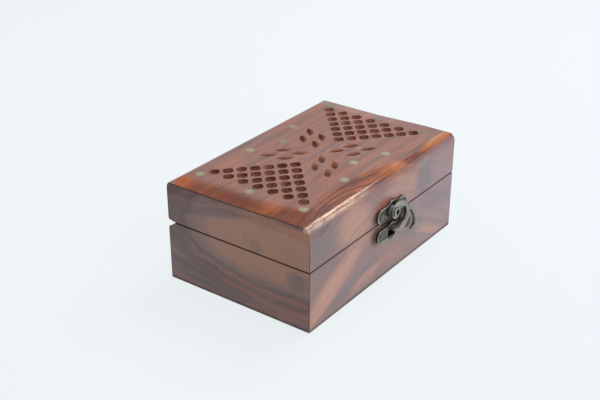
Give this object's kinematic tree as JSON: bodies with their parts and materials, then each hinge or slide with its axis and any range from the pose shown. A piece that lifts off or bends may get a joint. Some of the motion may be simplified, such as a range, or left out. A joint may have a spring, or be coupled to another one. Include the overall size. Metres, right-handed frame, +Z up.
{
  "type": "inlaid wooden box",
  "caption": "Rectangular lacquered hardwood keepsake box with a carved, brass-dotted hinged lid and a swing-hook latch, for jewellery and small things.",
  "frame": {"origin": "middle of the underside, on the surface that the box stands on", "axes": "+Z up; +X along the latch side, to the right seen from the latch; the latch side faces -Y"},
  "size_m": [0.152, 0.104, 0.0635],
  "materials": {
    "wood_top": "glossy lacquer over carved rosewood",
    "wood_walls": "glossy lacquer over figured rosewood",
    "wood_bottom": "bare thin board",
    "brass_inlay": "lacquered over, sanded flush",
    "hinge_brass": "plated, slightly dulled",
    "latch_bronze": "antique bronze, dark in the recesses",
    "latch_screw": "antique plated"
  },
  "bodies": {
    "base": {"base_front_wall": "wood_walls", "base_back_wall": "wood_walls", "base_left_wall": "wood_walls", "base_right_wall": "wood_walls", "bottom_panel": "wood_bottom", "hinge_left_base_leaf": "hinge_brass", "hinge_right_base_leaf": "hinge_brass", "hinge_left_pin": "hinge_brass", "hinge_right_pin": "hinge_brass", "hinge_base_screws": "hinge_brass", "latch_keeper_plate": "latch_bronze", "latch_keeper_screws": "latch_screw"},
    "lid": {"lid_front_rail": "wood_walls", "lid_back_rail": "wood_walls", "lid_left_rail": "wood_walls", "lid_right_rail": "wood_walls", "lid_top_panel": "wood_top", "brass_inlay_dots": "brass_inlay", "hinge_left_lid_leaf": "hinge_brass", "hinge_right_lid_leaf": "hinge_brass", "hinge_lid_screws": "hinge_brass", "latch_lid_plate": "latch_bronze", "latch_lid_screws": "latch_screw", "latch_rivet": "latch_bronze"},
    "hook": {"latch_hook": "latch_bronze"}
  },
  "joints": [
    {"name": "lid_hinge", "type": "hinge", "parent": "base", "child": "lid", "pos_m": [0, 0.0477, 0.03665], "axis": [-1, 0, 0], "range_deg": [0, 104]},
    {"name": "hook_swing", "type": "hinge", "parent": "lid", "child": "hook", "pos_m": [0.0035, -0.0526, 0.04155], "axis": [0, -1, 0], "range_deg": [-24, 85]}
  ]
}
